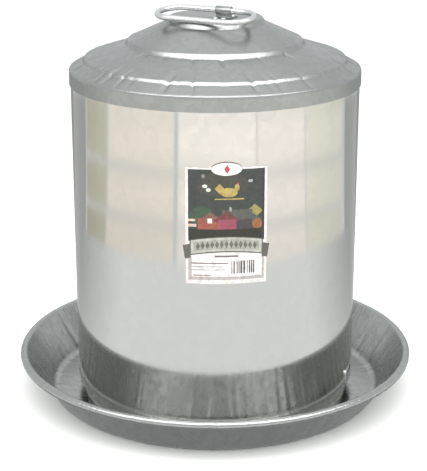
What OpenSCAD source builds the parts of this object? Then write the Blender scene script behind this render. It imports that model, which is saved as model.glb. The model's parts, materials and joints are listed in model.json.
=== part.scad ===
// Double-wall poultry waterer fount: a drinking pan with a soldered tank, and a
// lift-off cover that locks with a short twist and opens the outlet valve.
// +Z is up, the floor is z = 0 and the tank's centre line is the Z axis.
// The label faces -Y and the outlet valve is on the +Y side.

/* [Sheet metal] */
// Thickness of every galvanised sheet
sheet = 0.6; // [0.5:0.1:0.7]
// Play between a curled edge and the wire inside it
wire_play = 0.1; // [0.05:0.05:0.2]
// Clearance between pieces that move past each other
clearance = 0.3; // [0.25:0.05:0.4]

/* [Pan] */
// Outer radius of the pan's wired rim
pan_r = 203.2; // [198:0.2:208]
// Radius of the flat floor
pan_floor_r = 164; // [160:1:166]
// Height of the centre of the rim's wire
rim_z = 40.4; // [38:0.2:43]
// Bend radius where the floor turns up into the wall
pan_bend_r = 9; // [6:0.5:10]
// Outer radius of the rolled rim
rim_roll_r = 4; // [3.5:0.1:4.5]

/* [Tank] */
// Outer radius of the water tank
tank_r = 135.5; // [134:0.5:136]
// Height of the centre of the tank's rim wire
tank_rim_z = 317; // [310:1:320]
// Outer radius of the tank's rolled rim
tank_roll_r = 2.5; // [2:0.1:3]
// Size of the solder fillet at the tank's foot
solder_size = 2.4; // [2:0.1:2.6]

/* [Cover] */
// Outer radius of the cover's wall
shell_r = 143; // [142.8:0.1:143.6]
// Height of the cover's lower edge
shell_z = 16; // [15.8:0.1:17]
// Height of the centre of the cover's top wire
shell_top_z = 334; // [332:0.5:335]
// Outer radius of the rolled top edge
shell_roll_r = 2.2; // [2:0.1:2.4]
// Height of the folded hem
hem_h = 8; // [6:1:9]
// Height of the lower edge of the lid's skirt
lid_z = 322; // [321:0.5:324]
// Height of the lid's skirt
skirt_h = 11.5; // [10:0.5:13]
// Rise of the lid's flat top above the skirt's lower edge
lid_rise = 63.8; // [62:0.2:66]

/* [Lock] */
// Angle that the cover turns to lock, in degrees
twist = 7; // [6:0.5:8]
// Directions of the two lock pins, in degrees from +X
pin_turn = -22; // [-40:1:0]
// Radius of a lock pin
pin_r = 2.5; // [2:0.1:3]
// Height of the lock pins
pin_z = 31; // [29:0.5:33]
// How far a lock pin stands out past the cover's wall
pin_stand = 1.4; // [0.5:0.1:2]
// Clearance between a lock pin and its slot
slot_play = 0.7; // [0.5:0.1:1]

/* [Valve] */
// Radius of the outlet port
port_r = 4; // [3:0.2:4.5]
// Height of the outlet port
port_z = 10; // [9.8:0.1:11]
// Height of the lever's pivot
pivot_z = 36; // [35:0.5:38]
// Distance from the pivot up to the striker
striker_rise = 36; // [34:1:38]
// Radius of the striker pin
striker_r = 1.5; // [1.2:0.1:1.7]
// Thickness of the lever's plate
lever_t = 1; // [0.8:0.1:1]
// Width of the lever's arm
lever_w = 7; // [6:0.5:8]
// Thickness of the rubber seal
seal_t = 1.5; // [1:0.1:1.6]

/* [Bail] */
// Radius of the bail's wire
bail_wire_r = 2.75; // [2:0.25:3]
// Distance between the centre lines of the bail's two bars
bail_w = 40; // [34:1:42]
// Length of the straight stretch of each bar
bail_bar = 60; // [50:1:64]
// How far the bail's middle sits to the left of its clip
bail_shift = 10; // [8:0.2:14]
// Height of the bail's pivot above the lid's flat top
bail_rise = 7.6; // [7:0.2:9]
// Turn of the clip and bail about +Z, in degrees
bail_turn = -28; // [-35:1:0]
// Place of the clip to the right of the centre line
clip_x = 8.6; // [0:0.2:12]
// Place of the clip in front of the centre line
clip_front = 12; // [0:1:14]
// Width of the clip along the bail's bar
clip_w = 16; // [12:1:18]

/* [Label] */
// Height of the label's lower edge
label_z = 159; // [140:1:170]
// Height of the label
label_h = 112; // [80:1:130]
// Width of the label
label_w = 75; // [60:0.5:80]
// Turn of the label's middle from the front, in degrees
label_turn = 4.2; // [-10:0.2:10]

/* [Hidden] */

$fn = 96;
zinc = [0.67, 0.69, 0.68];
bright_zinc = [0.82, 0.83, 0.80];
solder = [0.58, 0.59, 0.58];
steel = [0.55, 0.56, 0.58];

front = -90;
back = 90;
shell_in_r = shell_r - sheet;
skirt_r = shell_r + 2 * sheet;
plateau_z = lid_z + lid_rise;
seam_span = 3.4;
tank_seam_turn = 20;
shell_seam_turn = 60;
slot_r = pin_r + slot_play;
seat_flange_r = port_r + 2.5;
seat_face = tank_r + 0.5;
seal_y = seat_face + clearance;
lever_y = seal_y + seal_t;
seal_r = port_r + 2;
fork_gap = 2 * (striker_r + 0.7);
fork_prong = 3;
pivot_r = 2;
pivot_head_r = 3.5;
pivot_head_t = 0.8;
shoulder_r = 4;
rivet_r = 1;
clip_t = 1.2;
clip_flange = 14;
bail_pivot_z = plateau_z + bail_rise;
bail_tilt = asin((bail_rise - bail_wire_r - clearance) / bail_w);
clip_rivet_r = 1.6;
clip_rivet_head_r = 2.8;
rest_clip_turns = [38, 198, 278];
lug_h = 6;
lug_play = 0.7;
spring_r = 4.9;
spring_wire_r = 0.35;
spring_turns = 1.5;
spring_y = tank_r + 0.6;
spring_pitch = 0.75;
spring_leg = 13;
anchor_x = -spring_r;
anchor_z = pivot_z + spring_leg - 1.5;
label_t = 0.25;
badge_size = [28.8, 13.4];
tab_size = [80.6, 13];
tab_rise = 26;

// ---- outlines -------------------------------------------------------------

function unit(v) = v / norm(v);
function ahead(p, i) = i == len(p) - 1 ? unit(p[i] - p[i - 1]) : unit(p[i + 1] - p[i]);
function behind(p, i) = i == 0 ? ahead(p, 0) : unit(p[i] - p[i - 1]);
function across(p, i) =
    let (d = unit(ahead(p, i) + behind(p, i))) [-d[1], d[0]] / (d * ahead(p, i));

// The points that lie t to the left of the line p
function beside(p, t) = [for (i = [0:len(p) - 1]) p[i] + t * across(p, i)];
function reversed(p) = [for (i = [len(p) - 1:-1:0]) p[i]];

// The outline of a sheet of thickness t whose middle follows the line p
function strip(p, t) = concat(beside(p, t / 2), reversed(beside(p, -t / 2)));

// Points on a circle of centre c and radius r, from angle a to angle b
function arc(c, r, a, b, n) =
    [for (i = [0:n]) c + r * [cos(a + (b - a) * i / n), sin(a + (b - a) * i / n)]];

// A smooth riser from p to q in n stretches
function riser(p, q, n) =
    [for (i = [0:n]) [p[0] + (q[0] - p[0]) * i / n,
                      p[1] + (q[1] - p[1]) * (1 - cos(180 * i / n)) / 2]];

// The floor, the bend and the wall of the pan, with its edge rolled over the wire
pan_bend = [pan_floor_r, pan_bend_r + sheet / 2];
rim_at = [pan_r - rim_roll_r, rim_z];
rim_curl_r = rim_roll_r - sheet / 2;
pan_slope = atan2(rim_at[1] - pan_bend[1], rim_at[0] - pan_bend[0])
    + asin((pan_bend_r + rim_curl_r) / norm(rim_at - pan_bend));
pan_line = concat([[0, sheet / 2]],
    arc(pan_bend, pan_bend_r, -90, pan_slope - 90, 6),
    arc(rim_at, rim_curl_r, 90 + pan_slope, pan_slope - 205, 20));

// The tank's wall with its edge rolled inwards
tank_mid_r = tank_r - sheet / 2;
tank_curl_r = tank_roll_r - sheet / 2;
tank_roll = [tank_mid_r - tank_curl_r, tank_rim_z];
tank_line = concat([[tank_mid_r, sheet]], arc(tank_roll, tank_curl_r, 0, 300, 18));

// The cover's wall with its top edge rolled inwards
shell_mid_r = shell_r - sheet / 2;
shell_curl_r = shell_roll_r - sheet / 2;
shell_roll = [shell_mid_r - shell_curl_r, shell_top_z];
shell_line = concat([[shell_mid_r, shell_z]], arc(shell_roll, shell_curl_r, 0, 300, 16));

// The lid from its skirt to its flat top: a shoulder, then three bands of roof with a
// riser after each, given by the foot and the head of the riser
shoulder = 5.5;
lid_skirt = skirt_r - sheet / 2;
lid_top = lid_rise - sheet / 2;
outer_riser = [[131.5, 22], [127.5, 25]];
middle_riser = [[89.5, 37], [84.5, 42.5]];
upper_riser = [[50.5, 57.8], [45, lid_top]];
lid_line = concat([[lid_skirt, 0]],
    arc([lid_skirt - shoulder, skirt_h], shoulder, 0, 50, 4),
    riser(outer_riser[0], outer_riser[1], 5),
    riser(middle_riser[0], middle_riser[1], 6),
    riser(upper_riser[0], upper_riser[1], 8),
    [[0, lid_top]]);

// ---- helpers --------------------------------------------------------------

module turned(points) {
    rotate_extrude($fn = 180) polygon(points);
}

module ring(at, r) {
    rotate_extrude($fn = 180) translate(at) circle(r = r, $fn = 32);
}

// A piece of a ring with the outline given, centred on a direction
module sector(turn, span, points) {
    rotate([0, 0, turn - span / 2]) rotate_extrude(angle = span, $fn = 180) polygon(points);
}

function box_outline(r0, r1, z0, z1) = [[r0, z0], [r1, z0], [r1, z1], [r0, z1]];

// A rod along the radius in a direction, from radius r0 to radius r1
module radial(turn, z, r0, r1, r) {
    rotate([0, 0, turn]) translate([r0, 0, z]) rotate([0, 90, 0]) cylinder(r = r, h = r1 - r0);
}

// Cuts a piece to the round of the tank's wall
module on_tank() {
    difference() {
        children();
        cylinder(r = tank_r, h = tank_rim_z, $fn = 180);
    }
}

// A plate of the lever's outline, standing in the XZ plane between two depths
module upright(y0, y1) {
    translate([0, y1, 0]) rotate([90, 0, 0]) linear_extrude(height = y1 - y0) children();
}

// The frame of the bail's clip: X along the bail's bar, on the lid's flat top
module at_clip(z) {
    translate([clip_x, -clip_front, z]) rotate([0, 0, bail_turn]) children();
}

// ---- pan and tank ---------------------------------------------------------

module pan() {
    color(zinc) turned(strip(pan_line, sheet));
}

module pan_rim_wire() {
    color(steel) ring(rim_at, rim_roll_r - sheet - wire_play);
}

module tank_wall() {
    color(bright_zinc) difference() {
        turned(strip(tank_line, sheet));
        radial(back, port_z, tank_r - 5, tank_r + 1, port_r + 1);
    }
}

module tank_seam() {
    color(solder) sector(tank_seam_turn, seam_span,
        box_outline(tank_r, tank_r + sheet, sheet + solder_size, tank_rim_z - tank_roll_r));
}

module tank_bottom() {
    color(bright_zinc) translate([0, 0, sheet]) cylinder(r = tank_r - sheet, h = sheet, $fn = 180);
}

module tank_rim_wire() {
    color(steel) ring(tank_roll, tank_roll_r - sheet - wire_play);
}

module foot_solder() {
    color(solder) turned([[tank_r, sheet], [tank_r + solder_size, sheet],
                          [tank_r, sheet + solder_size]]);
}

// Two pins welded to the tank, which the cover's slots drop over
module lock_pins() {
    color(steel) on_tank() for (turn = [pin_turn, pin_turn + 180]) {
        radial(turn, pin_z, tank_r - 1, shell_r + pin_stand, pin_r);
        radial(turn, pin_z, tank_r - 1, tank_r + 2, 2 * pin_r);
    }
}

// Three clips that carry the cover's lower edge and keep it central
module rest_clips() {
    shelf_z = shell_z - clearance;
    shelf_r = shell_r + sheet;
    foot_z = 5;
    lug_r = shell_in_r - sheet - lug_play;
    color(zinc) for (turn = rest_clip_turns)
        sector(turn, 6,
            [[tank_r, foot_z], [tank_r + clip_t, foot_z], [tank_r + clip_t, shelf_z - clip_t],
             [shelf_r, shelf_z - clip_t], [shelf_r, shelf_z], [lug_r, shelf_z],
             [lug_r, shelf_z + lug_h], [lug_r - clip_t, shelf_z + lug_h],
             [lug_r - clip_t, shelf_z], [tank_r, shelf_z]]);
}

// ---- valve ----------------------------------------------------------------

// The flanged bush in the tank's wall that the seal closes
module valve_seat() {
    color(steel) difference() {
        union() {
            radial(back, port_z, tank_r - 2, tank_r, port_r + 1);
            radial(back, port_z, tank_r, seat_face, seat_flange_r);
        }
        radial(back, port_z, tank_r - 5, tank_r + 5, port_r);
    }
}

// A shouldered stud welded to the tank, with its head outside the lever
module valve_pivot_pin() {
    color(steel) on_tank() {
        radial(back, pivot_z, tank_r - 1, lever_y - clearance, shoulder_r);
        radial(back, pivot_z, tank_r - 1, lever_y + lever_t + clearance + pivot_head_t, pivot_r);
        radial(back, pivot_z, lever_y + lever_t + clearance,
            lever_y + lever_t + clearance + pivot_head_t, pivot_head_r);
    }
}

// The wire's middle: a leg to the anchor, the coil, and a leg along the lever's arm
function spring_line() =
    let (n = 14, top = spring_y, low = spring_y + spring_turns * spring_pitch)
    concat([for (k = [0:2]) [-spring_r, top, pivot_z + spring_leg * (1 - k / 2)]],
           [for (k = [1:n * spring_turns - 1])
               let (a = 180 + 360 * k / n)
               [spring_r * cos(a), top + spring_pitch * k / n, pivot_z + spring_r * sin(a)]],
           [for (k = [0:2]) [spring_r, low, pivot_z + spring_leg * -k / 2]]);

// A round wire along a line of points
module wire(p, r, sides) {
    n = len(p);
    function way(i) = unit(p[min(i + 1, n - 1)] - p[max(i - 1, 0)]);
    function side(i) = unit(cross(way(i), [0, 1, 0]));
    points = [for (i = [0:n - 1]) for (k = [0:sides - 1])
        p[i] + r * (side(i) * cos(360 * k / sides)
            + cross(way(i), side(i)) * sin(360 * k / sides))];
    skin = [for (i = [0:n - 2]) for (k = [0:sides - 1])
        [i * sides + k, (i + 1) * sides + k,
         (i + 1) * sides + (k + 1) % sides, i * sides + (k + 1) % sides]];
    first = [for (k = [0:sides - 1]) k];
    last = [for (k = [sides - 1:-1:0]) (n - 1) * sides + k];
    polyhedron(points, concat([first, last], skin));
}

module valve_spring() {
    color(steel) wire(spring_line(), spring_wire_r, 8);
}

// A peg welded to the tank beside the spring's upper leg
module spring_anchor() {
    peg_r = 1.2;
    color(steel) on_tank() translate([anchor_x - peg_r - spring_wire_r - 0.1, 0, 0])
        radial(back, anchor_z, tank_r - 1, tank_r + 2, peg_r);
}

// The lever's outline, with its pivot at the middle of the boss
module lever_outline() {
    fork_top = pivot_z + striker_rise + 6.5;
    fork_low = pivot_z + striker_rise - striker_r - 0.8;
    fork_w = fork_gap + 2 * fork_prong;
    difference() {
        union() {
            translate([0, pivot_z]) circle(r = lever_w - 1);
            translate([0, port_z]) circle(r = seal_r + 0.5);
            translate([-lever_w / 2, port_z]) square([lever_w, striker_rise + pivot_z - port_z - 6]);
            translate([-fork_w / 2, fork_low - 5]) square([fork_w, fork_top - fork_low + 5]);
        }
        translate([-fork_gap / 2, fork_low]) square([fork_gap, fork_top]);
        translate([0, pivot_z]) circle(r = pivot_r + 0.05);
        translate([0, port_z]) circle(r = rivet_r);
    }
}

module valve_lever() {
    color(zinc) upright(lever_y, lever_y + lever_t) lever_outline();
}

module valve_seal() {
    color("dimgray") difference() {
        radial(back, port_z, seal_y, lever_y, seal_r);
        radial(back, port_z, seal_y - 1, lever_y + 1, rivet_r);
    }
}

// Holds the seal to the lever, with its head outside
module seal_rivet() {
    color(steel) union() {
        radial(back, port_z, seal_y + 0.4, lever_y + lever_t, rivet_r);
        radial(back, port_z, lever_y + lever_t, lever_y + lever_t + 0.7, 2 * rivet_r);
    }
}

// A pin welded inside the cover that drops into the lever's fork
module valve_striker() {
    color(steel) intersection() {
        union() {
            radial(back, pivot_z + striker_rise, lever_y - 0.6, shell_r, striker_r);
            radial(back, pivot_z + striker_rise, shell_in_r - 1.2, shell_r, 2 * striker_r);
        }
        cylinder(r = shell_in_r, h = shell_top_z, $fn = 180);
    }
}

// ---- cover ----------------------------------------------------------------

// The ring of wire inside the rolled top edge of the cover
module shell_top_wire() {
    color(steel) ring(shell_roll, shell_roll_r - sheet - wire_play);
}

// An L-shaped slot: up from the lower edge, then sideways by the lock's angle
module lock_slot(turn) {
    half_way = shell_r * sin(twist / 2);
    rotate([0, 0, turn + twist / 2]) translate([shell_r - 8, 0, 0]) rotate([90, 0, 90])
        linear_extrude(height = 12) union() {
            translate([-half_way - slot_r, shell_z - 1])
                square([2 * slot_r, pin_z - shell_z + 1]);
            translate([-half_way, pin_z - slot_r]) square([2 * half_way, 2 * slot_r]);
            for (x = [-half_way, half_way]) translate([x, pin_z]) circle(r = slot_r, $fn = 48);
        }
}

module shell_wall() {
    color(bright_zinc) difference() {
        union() {
            turned(strip(shell_line, sheet));
            turned(box_outline(shell_in_r - sheet, shell_in_r, shell_z, shell_z + hem_h));
        }
        lock_slot(pin_turn);
        lock_slot(pin_turn + 180);
    }
}

module shell_seam() {
    color(solder) sector(shell_seam_turn, seam_span,
        box_outline(shell_r, shell_r + sheet, shell_z, lid_z - clearance));
}

module lid() {
    color(zinc) difference() {
        translate([0, 0, lid_z]) turned(strip(lid_line, sheet));
        clip_rivet_places() translate([0, 0, -5]) cylinder(r = clip_rivet_r, h = 10, $fn = 32);
    }
}

// The solder that closes the gap between the cover's wall and the lid's skirt
module lid_solder() {
    color(solder) turned(box_outline(shell_r, skirt_r - sheet, lid_z + 1, lid_z + 6));
}

// ---- clip, bail and label -------------------------------------------------

module clip_rivet_places() {
    for (x = [-0.27, 0.27]) for (y = [-0.68, 0.68])
        at_clip(plateau_z) translate([x * clip_w, y * clip_flange, 0]) children();
}

// A strap folded round the bail's bar, with its two ends flat on the lid
module bail_clip() {
    eye_r = bail_wire_r + wire_play;
    neck = bail_rise - eye_r;
    color(zinc) difference() {
        at_clip(plateau_z) rotate([90, 0, 90]) translate([0, 0, -clip_w / 2])
            linear_extrude(height = clip_w) difference() {
                union() {
                    translate([0, bail_rise]) circle(r = eye_r + clip_t);
                    translate([-clip_t, 0]) square([2 * clip_t, neck]);
                    translate([-clip_flange, 0]) square([2 * clip_flange, clip_t]);
                }
                translate([0, bail_rise]) circle(r = eye_r);
            }
        clip_rivet_places() translate([0, 0, -1]) cylinder(r = clip_rivet_r, h = 10, $fn = 32);
    }
}

module clip_rivets() {
    color(steel) clip_rivet_places() union() {
        translate([0, 0, -sheet - 0.8]) cylinder(r = clip_rivet_head_r, h = 0.8, $fn = 32);
        translate([0, 0, -sheet - 0.8]) cylinder(r = clip_rivet_r, h = clip_t + sheet + 1.2, $fn = 32);
        translate([0, 0, clip_t]) cylinder(r1 = clip_rivet_head_r, r2 = 1.8, h = 1, $fn = 32);
    }
}

// One rounded end of the bail, half a ring
module bail_end(x, turn) {
    translate([x, -bail_w / 2, 0]) rotate([0, 0, turn])
        rotate_extrude(angle = 180) translate([bail_w / 2, 0]) circle(r = bail_wire_r, $fn = 32);
}

// A closed wire loop that turns in the clip's eye and lies on the lid
module bail() {
    color(steel) at_clip(bail_pivot_z) rotate([bail_tilt, 0, 0]) union() {
        for (y = [0, -bail_w]) translate([-bail_shift - bail_bar / 2, y, 0]) rotate([0, 90, 0])
            cylinder(r = bail_wire_r, h = bail_bar, $fn = 32);
        bail_end(-bail_shift - bail_bar / 2, 90);
        bail_end(-bail_shift + bail_bar / 2, -90);
    }
}

// The label's outline: a sheet with an oval badge on top and a ribbon's two ends at the sides
module label_outline() {
    translate([-label_w / 2, 0]) square([label_w, label_h]);
    translate([-tab_size[0] / 2, tab_rise]) square(tab_size);
    translate([0, label_h - 1])
        polygon([for (a = [0:10:350]) [badge_size[0] * cos(a), badge_size[1] * sin(a)] / 2]);
}

module label() {
    color("ivory") intersection() {
        sector(front + label_turn, 50,
            box_outline(shell_r, shell_r + label_t, label_z, label_z + label_h + badge_size[1]));
        rotate([0, 0, label_turn]) translate([0, -tank_r + 10, label_z]) rotate([90, 0, 0])
            linear_extrude(height = 30) label_outline();
    }
}

pan();
pan_rim_wire();
tank_wall();
tank_seam();
tank_bottom();
tank_rim_wire();
foot_solder();
valve_seat();
valve_pivot_pin();
valve_spring();
spring_anchor();
lock_pins();
rest_clips();
valve_lever();
valve_seal();
seal_rivet();
shell_top_wire();
shell_wall();
shell_seam();
lid();
lid_solder();
valve_striker();
bail_clip();
clip_rivets();
label();
bail();
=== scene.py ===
"""Looks of a double-wall poultry waterer fount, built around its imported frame."""

import json
import math
import random

import bmesh
import bpy
from bpy.props import FloatProperty, FloatVectorProperty, IntProperty, PointerProperty
from bpy.types import Operator, Panel, PropertyGroup
from mathutils import Matrix, Vector, noise


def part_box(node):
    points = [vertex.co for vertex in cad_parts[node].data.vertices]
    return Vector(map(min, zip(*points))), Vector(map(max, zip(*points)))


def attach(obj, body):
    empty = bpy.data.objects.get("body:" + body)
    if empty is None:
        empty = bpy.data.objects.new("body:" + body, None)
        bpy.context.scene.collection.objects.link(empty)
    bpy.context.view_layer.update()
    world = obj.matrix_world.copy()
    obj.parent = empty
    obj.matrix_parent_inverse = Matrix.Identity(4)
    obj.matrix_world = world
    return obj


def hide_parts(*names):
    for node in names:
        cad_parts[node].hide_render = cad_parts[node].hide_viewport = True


bl_info = {
    "name": "Poultry waterer fount",
    "version": (1, 0, 0),
    "blender": (4, 5, 0),
    "location": "3D View > Sidebar > Fount",
    "description": "Builds the sheet metal, wires, valve and label of a poultry waterer fount",
    "category": "Object",
}

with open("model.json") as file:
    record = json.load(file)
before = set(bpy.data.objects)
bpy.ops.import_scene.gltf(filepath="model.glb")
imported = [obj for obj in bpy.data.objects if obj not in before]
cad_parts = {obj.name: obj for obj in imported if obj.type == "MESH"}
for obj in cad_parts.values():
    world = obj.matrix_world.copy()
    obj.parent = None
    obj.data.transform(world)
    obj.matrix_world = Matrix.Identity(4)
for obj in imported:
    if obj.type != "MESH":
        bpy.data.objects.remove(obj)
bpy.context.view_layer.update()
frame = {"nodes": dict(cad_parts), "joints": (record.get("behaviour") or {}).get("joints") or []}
MM = 0.001
SEED = 41
# Radius at which ripples have their true size, close to the cover's
RIPPLE_RADIUS = 140 * MM

PAN_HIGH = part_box("pan")[1]
TANK_LOW, TANK_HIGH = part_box("tank_wall")
SHELL_LOW, SHELL_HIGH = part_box("shell_wall")
LID_LOW, LID_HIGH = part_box("lid")
LABEL_LOW, LABEL_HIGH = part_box("label")
JOINTS = {joint["name"]: joint for joint in frame["joints"]}


def linear(code):
    """The linear colour of an sRGB hex code."""
    parts = [int(code[i:i + 2], 16) / 255 for i in (1, 3, 5)]
    return [p / 12.92 if p <= 0.04045 else ((p + 0.055) / 1.055) ** 2.4 for p in parts]


# ---- what a user would change ---------------------------------------------

class FountSizes(PropertyGroup):
    """Sizes of the pieces that are made here"""

    sheet: FloatProperty(
        name="Sheet", description="Thickness of the galvanised sheet",
        default=0.6 * MM, unit="LENGTH")
    facets: IntProperty(
        name="Facets", description="Steps round each turned piece", default=480, min=96)
    pan_floor: FloatProperty(
        name="Pan floor", description="Radius of the pan's flat floor",
        default=164 * MM, unit="LENGTH")
    pan_bend: FloatProperty(
        name="Pan bend", description="Bend radius where the pan's floor meets its wall",
        default=9 * MM, unit="LENGTH")
    rim_roll: FloatProperty(
        name="Rim roll", description="Outer radius of the pan's rolled rim",
        default=4 * MM, unit="LENGTH")
    pan_pleats: IntProperty(
        name="Pan pleats", description="Pleats that the press leaves in the pan's wall", default=64)
    pleat_depth: FloatProperty(
        name="Pleat depth", description="Depth of the deepest pleat",
        default=0.9 * MM, unit="LENGTH")
    hem: FloatProperty(
        name="Hem", description="Height of the folded hem at the foot of the cover",
        default=8 * MM, unit="LENGTH")
    top_roll: FloatProperty(
        name="Top roll", description="Outer radius of the cover's rolled top edge",
        default=2.2 * MM, unit="LENGTH")
    wave: FloatProperty(
        name="Wave", description="How far the cover's wall is out of true",
        default=0.22 * MM, unit="LENGTH")
    tank_roll: FloatProperty(
        name="Tank roll", description="Outer radius of the tank's rolled rim",
        default=2.5 * MM, unit="LENGTH")
    lid_pleats: IntProperty(
        name="Lid pleats", description="Pleats in the lid's outer band", default=70)
    wire: FloatProperty(
        name="Bail wire", description="Radius of the bail's wire",
        default=2.75 * MM, unit="LENGTH")
    label_paper: FloatProperty(
        name="Label paper", description="Thickness of the label", default=0.25 * MM, unit="LENGTH")
    label_width: FloatProperty(
        name="Label width", description="Width of the label between its ribbon's ends",
        default=75 * MM, unit="LENGTH")
    label_height: FloatProperty(
        name="Label height", description="Height of the label up to its badge",
        default=112 * MM, unit="LENGTH")


class FountColours(PropertyGroup):
    """Colours of the finishes"""

    zinc_light: FloatVectorProperty(
        name="Light zinc", description="Bright crystals of the galvanised coat",
        subtype="COLOR", default=linear("#cdccc9"))
    zinc_dark: FloatVectorProperty(
        name="Dark zinc", description="Dull crystals of the galvanised coat",
        subtype="COLOR", default=linear("#a9a9a7"))
    solder: FloatVectorProperty(
        name="Solder", description="Tin solder", subtype="COLOR", default=linear("#b4b3ad"))
    wire: FloatVectorProperty(
        name="Wire", description="Zinc-plated steel wire", subtype="COLOR",
        default=linear("#dedfdf"))
    rubber: FloatVectorProperty(
        name="Rubber", description="Seal rubber", subtype="COLOR", default=linear("#2c2c2b"))
    paper: FloatVectorProperty(
        name="Paper", description="Label paper", subtype="COLOR", default=linear("#e9e2dd"))


class FountStudio(PropertyGroup):
    """Camera and light"""

    distance: FloatProperty(
        name="Distance", description="From the axis to the camera, along the floor",
        default=1.394, unit="LENGTH")
    height: FloatProperty(
        name="Height", description="Height of the camera", default=0.610, unit="LENGTH")
    side: FloatProperty(
        name="Side", description="How far the camera stands to the left",
        default=1.6 * MM, unit="LENGTH")
    tilt: FloatProperty(
        name="Tilt", description="How far the camera looks down",
        default=math.radians(17.88), subtype="ANGLE")
    lens: FloatProperty(name="Lens", description="Focal length", default=109.0, unit="CAMERA")
    sky: FloatProperty(name="Sky", description="Brightness of the room", default=0.88)
    floor: FloatVectorProperty(
        name="Floor", description="Colour of the floor", subtype="COLOR",
        default=linear("#fcfcfa"))


# ---- lines and skins ------------------------------------------------------

def arc(centre, radius, start, end, steps):
    """Points round a centre, from one angle in degrees to another."""
    turns = [math.radians(start + (end - start) * i / steps) for i in range(steps + 1)]
    return [(centre[0] + radius * math.cos(a), centre[1] + radius * math.sin(a)) for a in turns]


def reach(start, end, steps):
    """Evenly spaced points between two points, with the first and last left out."""
    a, b = Vector(start), Vector(end)
    return [tuple(a.lerp(b, i / steps)) for i in range(1, steps)]


def riser(low, high, steps):
    """A soft step from one (radius, height) point to another."""
    share = [i / steps for i in range(steps + 1)]
    return [(low[0] + (high[0] - low[0]) * s,
             low[1] + (high[1] - low[1]) * (1 - math.cos(math.pi * s)) / 2) for s in share]


def beside(line, gap):
    """The line that lies a gap to the left of a line."""
    points = [Vector(p) for p in line]
    ways = [(b - a).normalized() for a, b in zip(points, points[1:])]
    moved = []
    for i, point in enumerate(points):
        before = ways[max(i - 1, 0)]
        after = ways[min(i, len(ways) - 1)]
        middle = (before + after).normalized()
        side = Vector((-middle.y, middle.x)) / middle.dot(after)
        moved.append(tuple(point + side * gap))
    return moved


def strip(line, thickness):
    """The outline of a sheet whose middle follows a line."""
    return beside(line, thickness / 2) + beside(line, -thickness / 2)[::-1]


def points_of(geometry):
    """The points in what an operator made."""
    return [item for item in geometry if isinstance(item, bmesh.types.BMVert)]


def everything(bm):
    """All points, edges and faces of a skin."""
    return bm.verts[:] + bm.edges[:] + bm.faces[:]


def turn(outline, steps, span=math.tau, start=0.0):
    """A closed skin from an outline of (radius, height) points turned round the Z axis.

    A full turn is spun over a sixteenth and doubled four times, which is quicker."""
    bm = bmesh.new()
    across = Vector((math.cos(start), math.sin(start), 0))
    points = [bm.verts.new(across * r + Vector((0, 0, z))) for r, z in outline]
    pairs = list(zip(points, points[1:] + points[:1]))
    geometry = points + [bm.edges.new(pair) for pair in pairs
                         if max(v.co.xy.length for v in pair) > 0]
    whole = span == math.tau
    doublings = 4 if whole else 0
    if not whole:
        geometry.append(bm.faces.new(points))
    part = span / 2 ** doublings
    bmesh.ops.spin(
        bm, geom=geometry, cent=(0, 0, 0), axis=(0, 0, 1), dvec=(0, 0, 0), angle=part,
        steps=steps // 2 ** doublings, use_merge=False, use_duplicate=False)
    for _ in range(doublings):
        made = bmesh.ops.duplicate(bm, geom=everything(bm))["geom"]
        bmesh.ops.rotate(bm, cent=(0, 0, 0), matrix=Matrix.Rotation(part, 3, "Z"),
                         verts=points_of(made))
        part *= 2
    bmesh.ops.remove_doubles(bm, verts=bm.verts[:], dist=0.002 * MM)
    bmesh.ops.recalc_face_normals(bm, faces=bm.faces[:])
    return bm


def move_skin(bm, shift):
    """Moves each point by what shift(angle, radius, height) gives along the radius and up."""
    for vert in bm.verts:
        radius = vert.co.xy.length
        if radius > 0:
            out, up = shift(math.atan2(vert.co.y, vert.co.x), radius, vert.co.z)
            vert.co.xy *= (radius + out) / radius
            vert.co.z += up


def ripple(angle, height, size, seed):
    """Smooth noise from -1 to 1 round the axis, with waves of about a given size."""
    place = Vector((math.cos(angle), math.sin(angle), 0)) * (RIPPLE_RADIUS / size)
    return noise.noise(place + Vector((seed, seed, height / size)))


def fade(value, low, high):
    """0 below low, 1 above high and a smooth climb between."""
    share = min(max((value - low) / (high - low), 0), 1)
    return share * share * (3 - 2 * share)


def scatter(count, seed):
    """Pleats round the axis: the angle, width, depth and lean of each, as shares."""
    draw = random.Random(seed)
    return [(math.tau * (i + draw.uniform(-0.42, 0.42)) / count, draw.uniform(0.5, 1.2),
             draw.uniform(0.2, 1.0) ** 2, draw.uniform(-1, 1)) for i in range(count)]


def dent(pleats, angle, along, width, lean):
    """The depth, from 0 to about 1, of the pleats near an angle and at a place along them."""
    depth = 0
    near = round(angle / math.tau * len(pleats))
    for i in range(near - 3, near + 4):
        at, wide, deep, slant = pleats[i % len(pleats)]
        off = math.remainder(angle - at - lean * slant * along, math.tau) / (width * wide)
        depth += deep * math.exp(-off * off)
    return depth


def new_object(name, bm):
    """An object in the scene with a skin's mesh."""
    mesh = bpy.data.meshes.new(name)
    bm.to_mesh(mesh)
    made = bpy.data.objects.new(name, mesh)
    bpy.context.scene.collection.objects.link(made)
    return made


def cut(bm, tool):
    """Cuts one closed skin out of another."""
    halves = [new_object("half", skin) for skin in (bm, tool)]
    boolean = halves[0].modifiers.new("cut", "BOOLEAN")
    boolean.object = halves[1]
    boolean.operation = "DIFFERENCE"
    boolean.solver = "EXACT"
    graph = bpy.context.evaluated_depsgraph_get()
    result = bpy.data.meshes.new_from_object(halves[0].evaluated_get(graph))
    bm.clear()
    bm.from_mesh(result)
    tool.free()
    bpy.data.meshes.remove(result)
    for half in halves:
        bpy.data.meshes.remove(half.data)


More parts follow.
